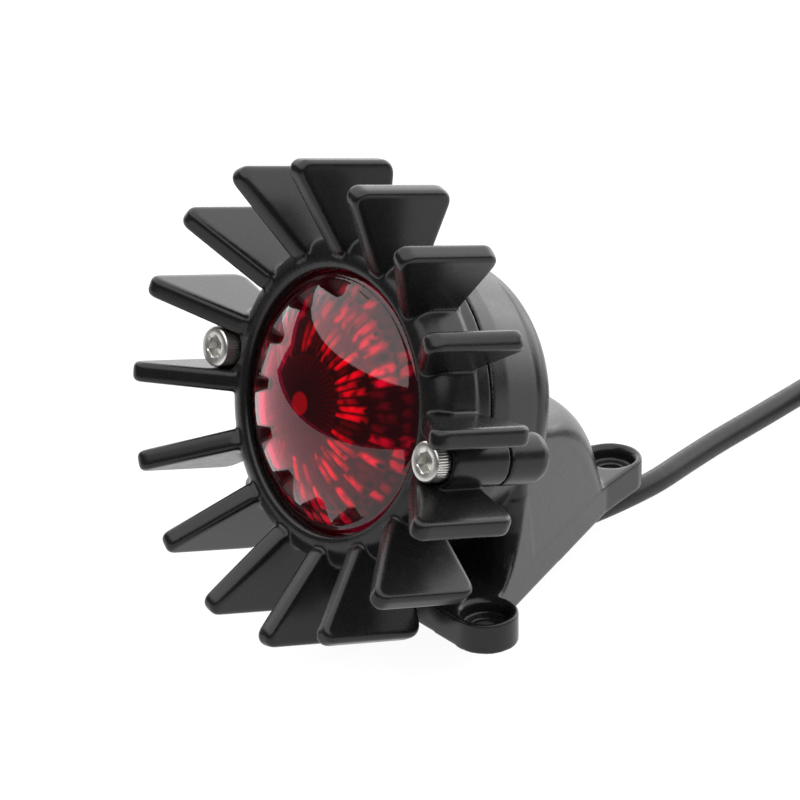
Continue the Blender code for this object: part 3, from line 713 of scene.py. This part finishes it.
def facet_at(radius, angle):
    """The prism that a point lies in, as (ring, sector), and where in it, as (u, v) from 0 to 1."""
    for ring, (low, high) in enumerate(zip(RING_EDGES, RING_EDGES[1:])):
        if low <= radius < high:
            break
    else:
        return None
    shift = 0.5 * (ring % 2)
    place = angle / math.tau * SECTORS + shift
    sector = math.floor(place) % SECTORS
    u = place - math.floor(place)
    v = (radius - low) / (high - low)
    return ring, sector, u, v


def facet_glow(point, level, tilt):
    """How strongly a point of the optic glows as a painted highlight, from 0 to 1; the middle disc
    gets a steady painted glow.
    """
    radius = math.hypot(point.x, point.y)
    found = facet_at(radius, math.atan2(point.y, point.x) % math.tau)
    if radius < 2.2:
        return 0.24
    if not found:
        return 0.0
    ring, sector, u, v = found
    if ring == 0:
        return 0.03 * (1 - abs(2 * u - 1)) * v * v
    bright, shift = level[ring][sector], 0.7 * tilt[ring][sector]
    mottle = noise.noise(Vector((point.x * 0.75, point.y * 0.75, ring * 3.0)))
    across = max(0.0, 1.0 - abs((2 * u - 1) / 0.85) ** 3)
    along = max(0.0, 1.0 - abs((2 * v - 1 + shift + 0.5 * mottle) / (0.55 + 0.4 * bright)) ** 3)
    lit = min(1.0, across * along * (0.9 + 1.2 * mottle)) * (0.6 if ring == 3 else 1.0)
    # Painted shade: dimmer towards -X, only because the photograph is darker on that side
    painted_side_shade = 0.3 + 0.7 * ease((point.x + 8.0) / 11.0)
    return painted_side_shade * max(lit, 0.0) * ((bright - 0.2) / 0.8 if bright > LIT_ABOVE else 0.07)


def make_optic():
    """Prism optic under the lens: rows of pillows round a plain middle."""
    steps, rings = SECTORS * 8, 60
    pick = np.random.default_rng(FACET_SEED)
    level = pick.random((len(RING_EDGES), SECTORS))
    tilt = pick.random((len(RING_EDGES), SECTORS)) - 0.5

    def pillows(angle, radius, depth, index):
        found = facet_at(radius, angle) if index <= rings else None
        if not found:
            return radius, depth
        ring, sector, u, v = found
        pillow = (1 - (2 * u - 1) ** 2) * (1 - (2 * v - 1) ** 4)
        return radius, depth - 0.45 * pillow - 0.25 * tilt[ring][sector] * (u - 0.5) * pillow

    front = dome(-7.3, 25.0, 2.9, rings)
    rim = [(26.6, 4.3), (29.2, 4.3), (29.2, 5.2), (26.2, 5.2)]
    back = dome(-6.0, 24.6, 4.4, 12)
    bm = bmesh.new()
    add_turned(bm, front + rim + back[::-1], steps, ripple=pillows)
    mesh = mesh_from(bm, "prism_optic")
    to_lamp = LAMP.inverted()
    # Painted highlights: each point's glow is kept on the mesh for the optic's material
    glow = [facet_glow((to_lamp @ vert.co) / MM, level, tilt) for vert in mesh.vertices]
    mesh.attributes.new("painted_glint", "FLOAT", "POINT").data.foreach_set("value", glow)
    smooth(mesh, 30)
    optic = new_object("prism_optic", mesh, LOOKS["optic"])
    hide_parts("inner_optic")


# ---------------------------------------------------------------- fastenings
def make_cap_screw(side, x):
    """Socket-head screw with a knurled head."""
    name = "cap_screw_" + side
    profile = [
        (3.7, -3.7), (3.95, -3.62), (4.17, -3.4), (4.24, -3.15), (4.24, 1.0), (4.0, 1.3), (2.4, 1.3),
        (2.4, 21.5), (1.8, 22.1), (0.0, 22.1),
    ]
    # From the head's rim in to the socket's floor, where no radius stands for the hexagon
    socket = [(3.0, -3.7), (2.45, -3.66), (None, -3.45), (None, -1.3), (1.2, -1.1)]
    socket_flat = 2.0
    knurl_count = 44

    def knurl(angle, radius, depth, index):
        if 3 <= index <= 4:
            return radius - 0.11 * (0.5 + 0.5 * math.cos(angle * knurl_count)) ** 2, depth
        return radius, depth

    bm = bmesh.new()
    steps = 264
    add_turned(bm, profile, steps, centre=(x, 0), ripple=knurl)
    bm.verts.ensure_lookup_table()
    rings = [list(bm.verts)[:steps]]
    for level, depth in socket:
        ring = []
        for step in range(steps):
            angle = math.tau * step / steps
            radius = level
            if radius is None:
                wedge = (angle + math.pi / 6) % (math.pi / 3) - math.pi / 6
                radius = socket_flat / math.cos(wedge)
            point = Vector((x + radius * math.cos(angle), radius * math.sin(angle), -depth)) * MM
            ring.append(bm.verts.new(LAMP @ point))
        rings.append(ring)
    for outer, inner in zip(rings, rings[1:]):
        for step in range(steps):
            after = (step + 1) % steps
            bm.faces.new((outer[step], outer[after], inner[after], inner[step]))
    bm.faces.new(rings[-1])
    mesh = mesh_from(bm, name)
    smooth(mesh, 28)
    screw = new_object(name + "_turned", mesh, LOOKS["stainless"])
    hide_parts(name)


# ---------------------------------------------------------------- carried-over nodes
def finish_nodes():
    """Give the CAD nodes that stay their finishes, by the first rule that a name starts with."""
    rules = [
        ("led_board", "board"), ("led_", "package"), ("board_screw", "plated"),
        ("driver", "ceramic"), ("diode", "ceramic"), ("resistor", "ceramic"),
        ("lens_gasket", "rubber"), ("clamp_ring", "rubber"), ("housing_seal", "rubber"),
        ("lead_grommet", "rubber"), ("end_sleeve", "rubber"), ("lead_clip", "nylon"),
        ("coil_tie", "nylon"), ("board_wire_red", "red_core"), ("board_wire_brown", "brown_core"),
        ("board_wire_black", "black_core"), ("core_red", "red_core"), ("core_brown", "brown_core"),
        ("core_black", "black_core"), ("bullet", "plated"), ("reflector", "metallised"),
    ]
    for name, node in NODES.items():
        for start, look in rules:
            if name.startswith(start):
                for entry in node.material_slots:
                    entry.material = LOOKS[look]
                break


# ---------------------------------------------------------------- floor and light
def make_floor():
    """Pale floor under the lamp. It gives off light, so it stays white and takes little shadow."""
    bm = bmesh.new()
    corners = [(-2600, -300), (2600, -300), (2600, 2600), (-2600, 2600)]
    bm.faces.new([bm.verts.new(Vector((x, y, FLOOR_Z)) * MM) for x, y in corners])
    mesh = mesh_from(bm, "floor")
    g = Graph("floor_white", (0.12, 0.12, 0.12), 0.7)
    g.set(Emission_Color=(1.0, 1.0, 1.0, 1.0), Emission_Strength=0.94, Specular_IOR_Level=0.0)
    floor = new_object("floor", mesh, g.material, body=False)


def area_light(name, shape, place, size, power):
    """A soft panel light, looking down until it is turned."""
    data = bpy.data.lights.new(name, "AREA")
    data.shape = shape
    data.size, data.size_y = size
    data.energy = power
    light = bpy.data.objects.new(name, data)
    bpy.context.scene.collection.objects.link(light)
    light.location = place
    light.visible_camera = False
    return light


def make_world():
    """White to the camera, and a soft dim room in reflections."""
    world = bpy.data.worlds.new("studio")
    bpy.context.scene.world = world
    world.use_nodes = True
    nodes, links = world.node_tree.nodes, world.node_tree.links
    base = nodes["Background"]
    base.inputs["Color"].default_value = (0.09, 0.09, 0.09, 1.0)
    seen = nodes.new("ShaderNodeBackground")
    seen.inputs["Color"].default_value = (1.0, 1.0, 1.0, 1.0)
    path = nodes.new("ShaderNodeLightPath")
    mix = nodes.new("ShaderNodeMixShader")
    links.new(path.outputs["Is Camera Ray"], mix.inputs["Fac"])
    links.new(base.outputs["Background"], mix.inputs[1])
    links.new(seen.outputs["Background"], mix.inputs[2])
    links.new(mix.outputs["Shader"], nodes["World Output"].inputs["Surface"])


def make_lights():
    """Large oval panel overhead, a panel behind and a white sweep behind on the left.

    Their places and sizes were chosen to give the reflections that the photograph shows.
    """
    make_world()
    panel = area_light("top_panel", "ELLIPSE", (-1.24, 1.66, 0.65), (3.56, 6.2), 118.0)
    panel.rotation_euler = (0.0, 0.0, math.radians(42.3))
    rear = area_light("rear_panel", "RECTANGLE", (0.035, 0.999, 0.25), (0.66, 0.5), 1.7)
    rear.rotation_euler = (math.radians(90.0), 0.0, math.radians(178.0))
    sweep = area_light("sweep", "RECTANGLE", (-0.79, 0.62, 0.13), (3.4, 0.4), 6.5)
    sweep.rotation_mode = "QUATERNION"
    sweep.rotation_quaternion = Vector((0.79, -0.62, -0.06)).to_track_quat("-Z", "Y")
    bpy.context.scene.view_settings.view_transform = "Standard"


def main():
    """Build everything."""
    make_camera()
    make_looks()
    make_lead()
    make_bezel()
    make_housing()
    make_lens()
    make_optic()
    for side, x in (("right", SCREW_X), ("left", -SCREW_X)):
        make_cap_screw(side, x)
    finish_nodes()
    make_floor()
    make_lights()


main()
